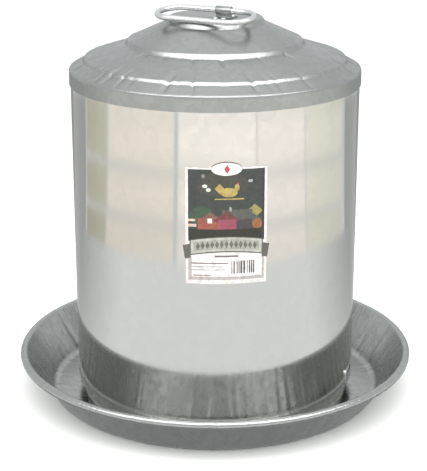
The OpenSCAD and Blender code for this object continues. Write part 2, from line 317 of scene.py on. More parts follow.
def rod(radius, length, place):
    """A closed rod that runs from a place's origin along its Z axis."""
    bm = bmesh.new()
    bmesh.ops.create_cone(
        bm, cap_ends=True, segments=48, radius1=radius, radius2=radius, depth=length,
        matrix=place @ Matrix.Translation((0, 0, length / 2)))
    return bm


def add_piece(name, bm, body, slot, material, *nodes, sharp=38):
    """Makes a piece on a body, in place of the CAD nodes named."""
    for face in bm.faces:
        face.smooth = True
    for edge in bm.edges:
        if len(edge.link_faces) == 2 and edge.calc_face_angle() > math.radians(sharp):
            edge.smooth = False
    piece = new_object(name, bm)
    bm.free()
    piece.data.materials.append(material)
    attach(piece, body)
    if nodes:
        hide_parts(*nodes)
    return piece


def add_rounded(node_name, body, slot, material, width):
    """A merged copy of a CAD node with its edges rounded."""
    bm = bmesh.new()
    bm.from_mesh(frame["nodes"][node_name].data)
    bmesh.ops.remove_doubles(bm, verts=bm.verts[:], dist=0.001 * MM)
    bmesh.ops.dissolve_limit(
        bm, angle_limit=math.radians(0.5), verts=bm.verts[:], edges=bm.edges[:])
    corners = [edge for edge in bm.edges
               if len(edge.link_faces) == 2 and edge.calc_face_angle() > math.radians(40)]
    bmesh.ops.bevel(
        bm, geom=corners, offset=width, offset_type="OFFSET", affect="EDGES", segments=2,
        profile=0.5, material=-1, clamp_overlap=True)
    return add_piece(node_name + "_skin", bm, body, slot, material, node_name)


# ---- finishes -------------------------------------------------------------

def node(tree, kind, settings, links):
    """Adds a node with its settings, and links or sets its inputs."""
    made = tree.nodes.new(kind)
    for name, value in settings.items():
        setattr(made, name, value)
    for socket, value in links.items():
        if isinstance(value, bpy.types.NodeSocket):
            tree.links.new(value, made.inputs[socket])
        else:
            made.inputs[socket].default_value = value
    return made


def new_material(name):
    """A material with an empty node tree that is ready for its shader."""
    material = bpy.data.materials.new(name)
    material.use_nodes = True
    material.node_tree.nodes.clear()
    return material


def close_material(material, shader):
    """Joins the shader to the material's output."""
    node(material.node_tree, "ShaderNodeOutputMaterial", {}, {"Surface": shader.outputs[0]})
    return material


def galvanised(name, light, dark, roughness, crystal, contrast, relief, creases=0, inner=0.1):
    """Hot-dipped zinc on steel sheet: soft grey crystals, each with its own feathery grain.

    The crystals differ a little in shade and gloss, and a cloudy bloom lies over them. Outside
    the inner radius, fine creases run outwards and up, as deep as creases says."""
    material = new_material(name)
    tree = material.node_tree
    coords = node(tree, "ShaderNodeTexCoord", {}, {}).outputs["Object"]
    warp = node(tree, "ShaderNodeTexNoise", {},
                {"Vector": coords, "Scale": 0.35 / crystal, "Detail": 3.0})
    bent = node(tree, "ShaderNodeVectorMath", {"operation": "MULTIPLY_ADD"},
                {0: warp.outputs["Color"], 1: [crystal * 0.9] * 3, 2: coords})
    cells = node(tree, "ShaderNodeTexVoronoi", {"feature": "F1"},
                 {"Vector": bent.outputs[0], "Scale": 1 / crystal, "Randomness": 1.0})
    shade = node(tree, "ShaderNodeSeparateColor", {}, {"Color": cells.outputs["Color"]})
    angle = node(tree, "ShaderNodeMath", {"operation": "MULTIPLY"},
                 {0: shade.outputs["Green"], 1: math.tau})
    turned = node(tree, "ShaderNodeVectorRotate", {"rotation_type": "AXIS_ANGLE"},
                  {"Vector": coords, "Axis": cells.outputs["Color"], "Angle": angle.outputs[0]})
    drawn = node(tree, "ShaderNodeMapping", {},
                 {"Vector": turned.outputs[0], "Scale": (1, 0.12, 1)})
    feather = node(tree, "ShaderNodeTexNoise", {},
                   {"Vector": drawn.outputs[0], "Scale": 9 / crystal, "Detail": 4.0})
    cloud = node(tree, "ShaderNodeTexNoise", {},
                 {"Vector": coords, "Scale": 1 / (70 * MM), "Detail": 5.0, "Roughness": 0.6})
    grain = node(tree, "ShaderNodeTexNoise", {},
                 {"Vector": coords, "Scale": 1 / (0.9 * MM), "Detail": 2.0})
    # How far towards the light crystal a spot is
    mixed = node(tree, "ShaderNodeMath", {"operation": "MULTIPLY_ADD"},
                 {0: feather.outputs["Fac"], 1: 0.35, 2: shade.outputs["Red"]})
    veiled = node(tree, "ShaderNodeMath", {"operation": "MULTIPLY_ADD"},
                  {0: cloud.outputs["Fac"], 1: 0.9, 2: mixed.outputs[0]})
    spread = {"Value": veiled.outputs[0], "From Min": 0.35, "From Max": 1.75}
    level = node(tree, "ShaderNodeMapRange", {},
                 spread | {"To Min": 0.5 - contrast / 2, "To Max": 0.5 + contrast / 2})
    colour = node(tree, "ShaderNodeMix", {"data_type": "RGBA"},
                  {"Factor": level.outputs[0], 6: (*dark, 1), 7: (*light, 1)})
    gloss = node(tree, "ShaderNodeMapRange", {},
                 spread | {"To Min": roughness * 1.25, "To Max": roughness * 0.8})
    height = node(tree, "ShaderNodeMath", {"operation": "MULTIPLY_ADD"},
                  {0: grain.outputs["Fac"], 1: 0.4, 2: feather.outputs["Fac"]})
    bump = node(tree, "ShaderNodeBump", {},
                {"Height": height.outputs[0], "Distance": relief, "Strength": 1.0})
    if creases:
        # A crease is narrow round the axis, and changes slowly along the radius and up
        flat = node(tree, "ShaderNodeMapping", {}, {"Vector": coords, "Scale": (1, 1, 0)})
        radius = node(tree, "ShaderNodeVectorMath", {"operation": "LENGTH"},
                      {0: flat.outputs[0]}).outputs["Value"]
        way = node(tree, "ShaderNodeVectorMath", {"operation": "NORMALIZE"}, {0: flat.outputs[0]})
        slow = node(tree, "ShaderNodeMapping", {},
                    {"Vector": coords, "Scale": (6, 6, 1 / (35 * MM))})
        place = node(tree, "ShaderNodeVectorMath", {"operation": "MULTIPLY_ADD"},
                     {0: way.outputs[0], 1: (75, 75, 75), 2: slow.outputs[0]})
        lines = node(tree, "ShaderNodeTexNoise", {},
                     {"Vector": place.outputs[0], "Scale": 1.0, "Detail": 2.0})
        zone = node(tree, "ShaderNodeMapRange", {},
                    {"Value": radius, "From Min": inner, "From Max": inner + 15 * MM})
        depth = node(tree, "ShaderNodeMath", {"operation": "MULTIPLY"},
                     {0: lines.outputs["Fac"], 1: zone.outputs[0]})
        bump = node(tree, "ShaderNodeBump", {},
                    {"Height": depth.outputs[0], "Distance": creases, "Strength": 1.0,
                     "Normal": bump.outputs[0]})
    shader = node(tree, "ShaderNodeBsdfPrincipled", {},
                  {"Base Color": colour.outputs[2], "Metallic": 1.0,
                   "Roughness": gloss.outputs[0], "Normal": bump.outputs[0]})
    return close_material(material, shader)


def tin_solder(name, tin):
    """Wiped tin solder: dull, lumpy, with bright worn spots."""
    material = new_material(name)
    tree = material.node_tree
    coords = node(tree, "ShaderNodeTexCoord", {}, {}).outputs["Object"]
    lumps = node(tree, "ShaderNodeTexNoise", {},
                 {"Vector": coords, "Scale": 1 / (3.5 * MM), "Detail": 4.0})
    colour = node(tree, "ShaderNodeMix", {"data_type": "RGBA"},
                  {"Factor": lumps.outputs["Fac"], 6: (*(tin * 0.55), 1), 7: (*tin, 1)})
    gloss = node(tree, "ShaderNodeMapRange", {},
                 {"Value": lumps.outputs["Fac"], "From Min": 0.3, "From Max": 0.7,
                  "To Min": 0.58, "To Max": 0.34})
    bump = node(tree, "ShaderNodeBump", {},
                {"Height": lumps.outputs["Fac"], "Distance": 0.5 * MM, "Strength": 0.8})
    shader = node(tree, "ShaderNodeBsdfPrincipled", {},
                  {"Base Color": colour.outputs[2], "Metallic": 1.0,
                   "Roughness": gloss.outputs[0], "Normal": bump.outputs[0]})
    return close_material(material, shader)


def plated_wire(colours):
    """Zinc-plated drawn wire and pins: bright, with fine draw marks and grey rubbed spots."""
    material = new_material("zinc_plated_wire")
    tree = material.node_tree
    coords = node(tree, "ShaderNodeTexCoord", {}, {}).outputs["Object"]
    marks = node(tree, "ShaderNodeTexNoise", {},
                 {"Vector": coords, "Scale": 1 / (1.2 * MM), "Detail": 3.0})
    rubbed = node(tree, "ShaderNodeTexNoise", {},
                  {"Vector": coords, "Scale": 1 / (9 * MM), "Detail": 4.0})
    worn = [c * 0.82 for c in colours.wire]
    colour = node(tree, "ShaderNodeMix", {"data_type": "RGBA"},
                  {"Factor": rubbed.outputs["Fac"], 6: (*worn, 1), 7: (*colours.wire, 1)})
    gloss = node(tree, "ShaderNodeMapRange", {},
                 {"Value": rubbed.outputs["Fac"], "From Min": 0.3, "From Max": 0.7,
                  "To Min": 0.38, "To Max": 0.2})
    bump = node(tree, "ShaderNodeBump", {},
                {"Height": marks.outputs["Fac"], "Distance": 0.01 * MM, "Strength": 1.0})
    shader = node(tree, "ShaderNodeBsdfPrincipled", {},
                  {"Base Color": colour.outputs[2], "Metallic": 1.0,
                   "Roughness": gloss.outputs[0], "Normal": bump.outputs[0]})
    return close_material(material, shader)


def moulded_rubber(colours):
    """Black moulded rubber: matt, with a dusty bloom."""
    material = new_material("moulded_rubber")
    tree = material.node_tree
    coords = node(tree, "ShaderNodeTexCoord", {}, {}).outputs["Object"]
    bloom = node(tree, "ShaderNodeTexNoise", {},
                 {"Vector": coords, "Scale": 1 / (2.5 * MM), "Detail": 5.0})
    dusty = [c * 2.2 + 0.01 for c in colours.rubber]
    colour = node(tree, "ShaderNodeMix", {"data_type": "RGBA"},
                  {"Factor": bloom.outputs["Fac"], 6: (*colours.rubber, 1), 7: (*dusty, 1)})
    bump = node(tree, "ShaderNodeBump", {},
                {"Height": bloom.outputs["Fac"], "Distance": 0.05 * MM, "Strength": 1.0})
    shader = node(tree, "ShaderNodeBsdfPrincipled", {},
                  {"Base Color": colour.outputs[2], "Roughness": 0.78,
                   "Normal": bump.outputs[0]})
    return close_material(material, shader)


def label_inks():
    """The label's print, bottom layer first.

    Each ink is (form, bowed, x, z, half width, half height, colour), in millimetres from the
    middle of the label's lower edge. A bowed ink follows the curve of the ribbon."""
    draw = random.Random(SEED + 3)
    inks = [
        # Lower panel in its grey frame, with rules in place of words
        ("box", 0, 0, 15.4, 35.2, 11.6, "#b4aba8"), ("box", 0, 0.5, 17.4, 32.6, 10.4, "#ebe6e3"),
        ("box", 0, -15.5, 20.2, 17.0, 0.55, "#6d6867"), ("box", 0, -18.5, 16.8, 14.0, 0.4, "#9a9493"),
        ("box", 0, -17.0, 13.8, 15.5, 0.4, "#9a9493"), ("box", 0, -22.5, 8.4, 8.0, 0.7, "#a38f8e"),
        ("box", 0, 0, 27.0, 11.0, 0.9, "#6d6867"),
        # Farm picture
        ("box", 0, 0, 76.0, 35.2, 34.4, "#3a3f3b"), ("oval", 0, -23, 66, 11.5, 9, "#3d5240"),
        ("oval", 0, -4, 96, 24, 12, "#45443c"), ("diamond", 0, 26, 70, 8, 6.5, "#968f4e"),
        ("box", 0, 10, 66, 14, 6.0, "#555850"), ("diamond", 0, 24, 62, 9, 6.0, "#555850"),
        ("box", 0, 12.5, 56, 11, 6.5, "#473d41"), ("oval", 0, 28.5, 57.5, 4.6, 5.0, "#95602f"),
        ("diamond", 0, -15, 62.5, 10.5, 7.5, "#7a5848"), ("box", 0, -17, 58.5, 9.5, 5.4, "#955040"),
        ("box", 0, -15.5, 61.5, 2.0, 2.3, "#fbeedb"), ("diamond", 0, 0, 62.0, 12, 9.0, "#6f3a3d"),
        ("box", 0, 0.5, 56.5, 8.5, 6.0, "#98485a"), ("box", 0, -32, 62, 3.2, 1.1, "#d8b7a8"),
        ("box", 0, -31.5, 57, 3.7, 1.4, "#d8b7a8"), ("box", 0, 0, 47.5, 35.2, 5.8, "#2b2c1f"),
        ("box", 0, 34, 76.0, 1.2, 34.4, "#393138"), ("oval", 0, 3.5, 72.5, 1.3, 2.2, "#93a392"),
        ("oval", 0, -21.5, 104, 1.5, 1.8, "#84887f"), ("oval", 0, 22, 99, 2.2, 1.4, "#b4b8ae"),
        ("oval", 0, -20, 94.5, 2.4, 1.7, "#d6dacf"), ("oval", 0, -16.8, 91, 2.2, 1.8, "#d6dacf"),
        # A golden hen over a rule
        ("oval", 0, 2, 88.5, 8.0, 4.4, "#b19d56"), ("oval", 0, 9.5, 93, 2.4, 3.4, "#b19d56"),
        ("diamond", 0, -6.5, 92, 4.5, 4.8, "#b19d56"), ("oval", 0, 10.2, 97, 1.2, 1.0, "#a3454a"),
        ("box", 0, 2.5, 82.2, 13.5, 0.6, "#b19d56"),
        # Oval badge
        ("oval", 0, 0, 111, 14.3, 6.6, "#5b4a45"), ("oval", 0, 0, 110.5, 14.0, 6.0, "#faf7f3"),
        ("diamond", 0, 0.3, 110.5, 2.8, 4.4, "#b8484d"),
        # Ribbon with its folded ends, and a braid along it
        ("box", 1, -37.2, 35.4, 4.2, 6.9, "#5f5d56"), ("box", 1, 37.2, 35.4, 4.2, 6.9, "#5f5d56"),
        ("box", 1, 0, 38.6, 34.0, 7.6, "#5d5c55"), ("box", 1, 0, 38.8, 32.8, 6.6, "#b6b5ab"),
        ("box", 1, 0, 38.8, 30.6, 4.6, "#a3a298"),
    ]
    inks += [("diamond", 1, 4.4 * i, 38.8, 1.9, 3.8, "#67665e") for i in range(-6, 7)]
    place = 5.0
    while place < 26.5:
        wide = draw.choice((0.25, 0.35, 0.6))
        inks.append(("box", 0, place, 16.2, wide, 6.2, "#4c4648"))
        place += 2 * wide + draw.choice((0.5, 0.8, 1.4))
    return inks


def printed_label(colours):
    """Coated label paper, printed in four colours: even gloss, faint paper fibre."""
    material = new_material("label_print")
    tree = material.node_tree
    flat = node(tree, "ShaderNodeUVMap", {"uv_map": "label"}, {}).outputs[0]
    split = node(tree, "ShaderNodeSeparateXYZ", {}, {"Vector": flat})
    square = node(tree, "ShaderNodeMath", {"operation": "MULTIPLY"},
                  {0: split.outputs["X"], 1: split.outputs["X"]})
    # The ribbon's middle stands 3.5 mm above its ends
    drop = node(tree, "ShaderNodeMath", {"operation": "MULTIPLY_ADD"},
                {0: square.outputs[0], 1: 0.003, 2: split.outputs["Y"]})
    bowed = node(tree, "ShaderNodeCombineXYZ", {},
                 {"X": split.outputs["X"], "Y": drop.outputs[0]}).outputs[0]
    colour = None
    for form, bow, x, z, half_width, half_height, ink in label_inks():
        local = node(tree, "ShaderNodeMapping", {"vector_type": "TEXTURE"},
                     {"Vector": bowed if bow else flat, "Location": (x, z, 0),
                      "Scale": (half_width, half_height, 1)}).outputs[0]
        if form == "oval":
            size = node(tree, "ShaderNodeVectorMath", {"operation": "LENGTH"},
                        {0: local}).outputs["Value"]
        else:
            folded = node(tree, "ShaderNodeVectorMath", {"operation": "ABSOLUTE"}, {0: local})
            if form == "diamond":
                size = node(tree, "ShaderNodeVectorMath", {"operation": "DOT_PRODUCT"},
                            {0: folded.outputs[0], 1: (1, 1, 0)}).outputs["Value"]
            else:
                sides = node(tree, "ShaderNodeSeparateXYZ", {}, {"Vector": folded.outputs[0]})
                size = node(tree, "ShaderNodeMath", {"operation": "MAXIMUM"},
                            {0: sides.outputs["X"], 1: sides.outputs["Y"]}).outputs[0]
        inside = node(tree, "ShaderNodeMath", {"operation": "LESS_THAN"}, {0: size, 1: 1.0})
        under = colour if colour else (*colours.paper, 1)
        colour = node(tree, "ShaderNodeMix", {"data_type": "RGBA"},
                      {"Factor": inside.outputs[0], 6: under, 7: (*linear(ink), 1)}).outputs[2]
    coords = node(tree, "ShaderNodeTexCoord", {}, {}).outputs["Object"]
    blotch = node(tree, "ShaderNodeTexNoise", {},
                  {"Vector": coords, "Scale": 1 / (4 * MM), "Detail": 8.0})
    uneven = node(tree, "ShaderNodeMapRange", {},
                  {"Value": blotch.outputs["Fac"], "From Min": 0.3, "From Max": 0.7,
                   "To Min": 0.62, "To Max": 0.94})
    tinted = node(tree, "ShaderNodeMix", {"data_type": "RGBA", "blend_type": "MULTIPLY"},
                  {"Factor": 1.0, 6: colour, 7: uneven.outputs[0]})
    fibre = node(tree, "ShaderNodeTexNoise", {},
                 {"Vector": coords, "Scale": 1 / (0.5 * MM), "Detail": 2.0})
    bump = node(tree, "ShaderNodeBump", {},
                {"Height": fibre.outputs["Fac"], "Distance": 0.01 * MM, "Strength": 1.0})
    shader = node(tree, "ShaderNodeBsdfPrincipled", {},
                  {"Base Color": tinted.outputs[2], "Roughness": 0.42, "IOR": 1.5,
                   "Normal": bump.outputs[0]})
    return close_material(material, shader)


# ---- pieces ---------------------------------------------------------------

def pan_lines(sizes):
    """The middle of the pan's sheet, from its centre to the end of its rolled rim."""
    half = sizes.sheet / 2
    bend = (sizes.pan_floor, sizes.pan_bend + half)
    rim = (PAN_HIGH.x - sizes.rim_roll, PAN_HIGH.z - sizes.rim_roll)
    curl = sizes.rim_roll - half
    gap = Vector(rim) - Vector(bend)
    slope = math.degrees(math.atan2(gap.y, gap.x) + math.asin((sizes.pan_bend + curl) / gap.length))
    wrap = 295
    corner = arc(bend, sizes.pan_bend, -90, slope - 90, 8)
    roll = arc(rim, curl, 90 + slope, 90 + slope - wrap, 28)
    floor = [(0, half), (120 * MM, half), (140 * MM, half)]
    return floor + reach(floor[-1], corner[0], 8) + corner + reach(corner[-1], roll[0], 16) + roll


class FOUNT_OT_pan(Operator):
    """Stamped drinking pan with a wired rim, and pleats where the press gathered the sheet"""

    bl_idname = "fount.pan"
    bl_label = "Pan"

    def execute(self, context):
        sizes = context.scene.fount_sizes
        bm = turn(strip(pan_lines(sizes), sizes.sheet), sizes.facets)
        pleats = scatter(sizes.pan_pleats, SEED)
        top = PAN_HIGH.z - 2 * sizes.rim_roll
        # A pleat stands out square to the flared wall, towards the pan's inside
        inward, upward = 0.84, 0.54
        floor_rise = 0.6
        wave_depth = 0.35 * MM

        def shift(angle, radius, height):
            along = fade(radius, sizes.pan_floor - 16 * MM, sizes.pan_floor + 8 * MM)
            depth = along * (1 - 0.6 * fade(height, 0.35 * top, top))
            depth *= sizes.pleat_depth * dent(pleats, angle, height / top, 0.016, 0.02)
            wall = fade(height, 0.5 * MM, 9 * MM)
            wave = wave_depth * wall * (ripple(angle, height, 60 * MM, 5) - 1)
            rise = (1 - wall) * depth * floor_rise + wall * depth * upward
            return wave - wall * depth * inward, rise

        move_skin(bm, shift)
        add_piece("pan_skin", bm, "base", "pan_zinc", bpy.data.materials["pan_galvanised"], "pan")
        return {"FINISHED"}


class FOUNT_OT_tank(Operator):
    """Water tank with its rolled rim and soldered foot; its soldered seam comes with the seams"""

    bl_idname = "fount.tank"
    bl_label = "Tank"

    def execute(self, context):
        sizes = context.scene.fount_sizes
        middle = TANK_HIGH.x - sizes.sheet / 2
        curl = sizes.tank_roll - sizes.sheet / 2
        roll = arc((middle - curl, TANK_HIGH.z - sizes.tank_roll), curl, 0, 300, 20)
        foot = (middle, TANK_LOW.z)
        line = [foot] + reach(foot, roll[0], 24) + roll
        bm = turn(strip(line, sizes.sheet), sizes.facets // 2)
        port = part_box("valve_seat")
        port_z = (port[0].z + port[1].z) / 2
        # The bore starts inside the tank and ends outside it
        bore_radius, bore_start, bore_length = 5 * MM, TANK_HIGH.y - 5 * MM, 8 * MM
        place = Matrix.Translation((0, bore_start, port_z)) @ Matrix.Rotation(
            math.radians(-90), 4, "X")
        cut(bm, rod(bore_radius, bore_length, place))
        wave_depth = 0.18 * MM
        move_skin(bm, lambda angle, radius, height: (
            wave_depth * fade(height, 60 * MM, 90 * MM) * (ripple(angle, height, 80 * MM, 9) - 1),
            0))
        add_piece("tank_skin", bm, "base", "wall_zinc",
                  bpy.data.materials["wall_galvanised"], "tank_wall")

        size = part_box("foot_solder")[1].x - TANK_HIGH.x
        fillet = [(TANK_HIGH.x, TANK_LOW.z), (TANK_HIGH.x + size, TANK_LOW.z),
                  (TANK_HIGH.x + 0.4 * size, TANK_LOW.z + 0.4 * size),
                  (TANK_HIGH.x, TANK_LOW.z + size)]
        bm = turn(fillet, sizes.facets)
        move_skin(bm, lambda angle, radius, height: (
            -(radius - TANK_HIGH.x) * (0.25 + 0.3 * ripple(angle, 0, 9 * MM, 3)), 0))
        add_piece("foot_solder_skin", bm, "base", "solder",
                  bpy.data.materials["wiped_solder"], "foot_solder", sharp=70)
        return {"FINISHED"}


class FOUNT_OT_shell(Operator):
    """Cover's wall: a rolled sheet with a folded hem, two lock slots and a rolled top edge"""

    bl_idname = "fount.shell"
    bl_label = "Cover wall"

    def execute(self, context):
        sizes = context.scene.fount_sizes
        sheet = sizes.sheet
        outer = SHELL_HIGH.x
        foot = SHELL_LOW.z
        curl = sizes.top_roll
        roll = (outer - curl, SHELL_HIGH.z - curl)
        fold = (outer - sheet, foot + sheet)
        outside = arc(fold, sheet, -90, 0, 4)
        roll_out = arc(roll, curl, 0, 300, 20)
        roll_in = arc(roll, curl - sheet, 300, 0, 20)
        hem_top = (outer - sheet, foot + sizes.hem)
        hem = [hem_top, (outer - 1.9 * sheet, foot + sizes.hem - 0.2 * MM)]
        inside = arc(fold, sheet, 180, 270, 4)
        outline = (outside + reach(outside[-1], roll_out[0], 44) + roll_out + roll_in
                   + reach(roll_in[-1], hem_top, 44) + hem + inside[:-1])
        bm = turn(outline, sizes.facets)

        def shift(angle, radius, height):
            out_of_true = fade(height, foot, foot + 30 * MM)
            out_of_true *= fade(SHELL_HIGH.z - height, 0, 20 * MM)
            wave = (0.6 * ripple(angle, height * 0.35, 55 * MM, 2)
                    + 0.4 * ripple(angle, height, 140 * MM, 7) - 1) / 2
            return sizes.wave * out_of_true * wave * radius / outer, 0

        move_skin(bm, shift)
        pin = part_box("lock_pins")
        pin_turn = math.atan2(pin[0].y + pin_radius(), pin[1].x)
        for start in (pin_turn, pin_turn + math.pi):
            cut(bm, lock_slot(start, outer, foot, (pin[0].z + pin[1].z) / 2))
        add_piece("shell_skin", bm, "cover", "wall_zinc",
                  bpy.data.materials["shell_galvanised"], "shell_wall")
        return {"FINISHED"}


def pin_radius():
    """Radius of a lock pin's collar."""
    low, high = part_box("lock_pins")
    return (high.z - low.z) / 2


def lock_slot(start, outer, foot, pin_z):
    """The block that cuts an L-shaped slot: up from the hem, then round by the lock's angle."""
    half = 3.2 * MM
    depth = 8 * MM
    twist = math.radians(JOINTS["cover_twist"]["range_deg"][1])
    reach_round = outer * math.sin(twist / 2)
    steps = 12
    up = [(-reach_round - half, foot - MM), (-reach_round + half, foot - MM)]
    inner = [(-reach_round + half, pin_z - half)]
    right = arc((reach_round, pin_z), half, -90, 90, steps)
    left = arc((-reach_round, pin_z), half, 90, 180, steps)
    bm = bmesh.new()
    spin = Matrix.Rotation(start + twist / 2, 4, "Z")
    face = bm.faces.new([bm.verts.new(spin @ Vector((outer - depth / 2, x, z)))
                         for x, z in up + inner + right + left])
    made = bmesh.ops.extrude_face_region(bm, geom=[face])["geom"]
    bmesh.ops.translate(bm, verts=points_of(made), vec=spin @ Vector((depth, 0, 0)))
    bmesh.ops.recalc_face_normals(bm, faces=bm.faces[:])
    return bm


class FOUNT_OT_seams(Operator):
    """Lapped and soldered side seams of the cover and the tank"""

    bl_idname = "fount.seams"
    bl_label = "Seams"

    def execute(self, context):
        rise = 0.6 * MM
        sunk = 0.05 * MM
        half = math.radians(1.7)
        for name, body, inner in (("shell_seam", "cover", SHELL_HIGH.x),
                                  ("tank_seam", "base", TANK_HIGH.x)):
            low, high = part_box(name)
            middle = math.atan2(low.y + high.y, low.x + high.x)
            side = [(inner - sunk, low.z), (inner + rise, low.z)]
            far = [(inner + rise, high.z), (inner - sunk, high.z)]
            outline = side + reach(side[-1], far[0], 70) + far + reach(far[-1], side[0], 70)
            bm = turn(outline, 10, 2 * half, middle - half)

            def shift(angle, radius, height):
                edge = 1 - fade(abs(math.remainder(angle - middle, math.tau)), 0.4 * half, half)
                lumps = 0.75 + 0.5 * ripple(angle, height, 7 * MM, 4)
                return -(radius - inner) * (1 - edge * lumps), 0

            move_skin(bm, shift)
            add_piece(name + "_skin", bm, body, "solder",
                      bpy.data.materials["wiped_solder"], name, sharp=70)
        return {"FINISHED"}


class FOUNT_OT_lid(Operator):
    """Stamped lid with three risers, and pleats where the press gathered the sheet"""

    bl_idname = "fount.lid"
    bl_label = "Lid"

    def execute(self, context):
        sizes = context.scene.fount_sizes
        half = sizes.sheet / 2
        foot = LID_LOW.z
        skirt = LID_HIGH.x - half
        skirt_height = 12 * MM
        shoulder = 5.5 * MM
        top = LID_HIGH.z - foot - half
        edge = arc((skirt - shoulder, skirt_height), shoulder, 0, 26, 5)
        first = riser((131 * MM, 21.7 * MM), (128 * MM, 25.2 * MM), 8)
        second = riser((89.5 * MM, 37 * MM), (84.5 * MM, 42.5 * MM), 9)
        third = riser((50.5 * MM, 57.8 * MM), (45 * MM, top), 12)
        start = (skirt, 0)
        line = [start] + reach(start, edge[0], 4) + edge + reach(edge[-1], first[0], 5) + first
        line += reach(first[-1], second[0], 16) + second + reach(second[-1], third[0], 12)
        line += third + reach(third[-1], (0, top), 5) + [(0, top)]
        bm = turn(strip([(r, foot + z) for r, z in line], sizes.sheet), sizes.facets)
        outer_pleats = scatter(sizes.lid_pleats, SEED + 1)
        inner_pleats = scatter(sizes.lid_pleats // 2, SEED + 2)
        fold_depth = 1.6 * MM
        wave_depth = 0.25 * MM

        def shift(angle, radius, height):
            outer = fade(radius, 110 * MM, 131 * MM) * (1 - fade(radius, 137 * MM, 143 * MM))
            inner = fade(radius, 86 * MM, 90 * MM) * (1 - fade(radius, 92 * MM, 106 * MM))
            folds = outer * dent(outer_pleats, angle, radius / LID_HIGH.x, 0.018, 0.25)
            folds += 0.8 * inner * dent(inner_pleats, angle, radius / LID_HIGH.x, 0.026, 0.3)
            wave = ripple(angle, radius, 45 * MM, 6) * fade(radius, 40 * MM, 70 * MM)
            wave *= 1 - fade(radius, 134 * MM, 143 * MM)
            return 0, -fold_depth * folds + wave_depth * (wave - 1) * outer

        move_skin(bm, shift)
        add_piece("lid_skin", bm, "cover", "lid_zinc", bpy.data.materials["lid_galvanised"], "lid")
        return {"FINISHED"}


class FOUNT_OT_bail(Operator):
    """Carrying bail: a closed loop of drawn wire in a riveted strap clip"""

    bl_idname = "fount.bail"
    bl_label = "Bail and clip"

    def execute(self, context):
        sizes = context.scene.fount_sizes
        # Length of a bar, distance between the bars, and how far the loop sits off its clip
        bar = 60 * MM
        width = 40 * MM
        shift = 10 * MM
        # The far bar lies on the lid's top, so the loop tilts down from its pivot
        pivot_rise = 7.6 * MM
        clearance = 0.3 * MM
        tilt = math.asin((pivot_rise - sizes.wire - clearance) / width)
        axis = Vector(JOINTS["bail_swing"]["axis"])
        heading = math.atan2(-axis.y, -axis.x)
        pivot = Matrix.Translation(JOINTS["bail_swing"]["pos_m"]) @ Matrix.Rotation(heading, 4, "Z")
        place = pivot @ Matrix.Rotation(tilt, 4, "X")
        bm = bmesh.new()
        start = Matrix.Translation((-shift - bar / 2, 0, 0)) @ Matrix.Rotation(
            math.radians(90), 4, "Y")
        ring = bmesh.ops.create_circle(bm, cap_ends=False, radius=sizes.wire, segments=28,
                                       matrix=start)["verts"]
        for end, way in ((-shift + bar / 2, 1), (-shift - bar / 2, -1)):
            ring = stretch(bm, ring, Vector((way * bar, 0, 0)), 12)
            ring = sweep(bm, ring, Vector((end, -width / 2, 0)), 36)
        bmesh.ops.remove_doubles(bm, verts=bm.verts[:], dist=0.01 * MM)
        for vert in bm.verts:
            bow = 0.5 * MM * noise.noise(vert.co * 25)
            vert.co.z += bow * fade(abs(vert.co.y), 8 * MM, 20 * MM)
        bmesh.ops.transform(bm, matrix=place, verts=bm.verts[:])
        bmesh.ops.recalc_face_normals(bm, faces=bm.faces[:])
        wire = bpy.data.materials["zinc_plated_wire"]
        add_piece("bail_wire", bm, "bail", "bare_wire", wire, "bail")
        strap = bpy.data.materials["lid_galvanised"]
        add_rounded("bail_clip", "cover", "lid_zinc", strap, 0.25 * MM)
        add_rounded("clip_rivets", "cover", "bare_wire", wire, 0.35 * MM)
        return {"FINISHED"}


def stretch(bm, ring, vector, steps):
    """Extrudes a ring of points along a vector in equal steps, and returns the last ring."""
    for _ in range(steps):
        edges = [e for e in bm.edges if all(v in ring for v in e.verts)]
        made = bmesh.ops.extrude_edge_only(bm, edges=edges)["geom"]
        ring = points_of(made)
        bmesh.ops.translate(bm, verts=ring, vec=vector / steps)
    return ring


def sweep(bm, ring, centre, steps):
    """Turns a ring of points half a turn round a centre, and returns the last ring."""
    edges = [e for e in bm.edges if all(v in ring for v in e.verts)]
    made = bmesh.ops.spin(
        bm, geom=list(ring) + edges, cent=centre, axis=(0, 0, 1), dvec=(0, 0, 0),
        angle=-math.pi, steps=steps, use_merge=False, use_duplicate=False)["geom_last"]
    return points_of(made)


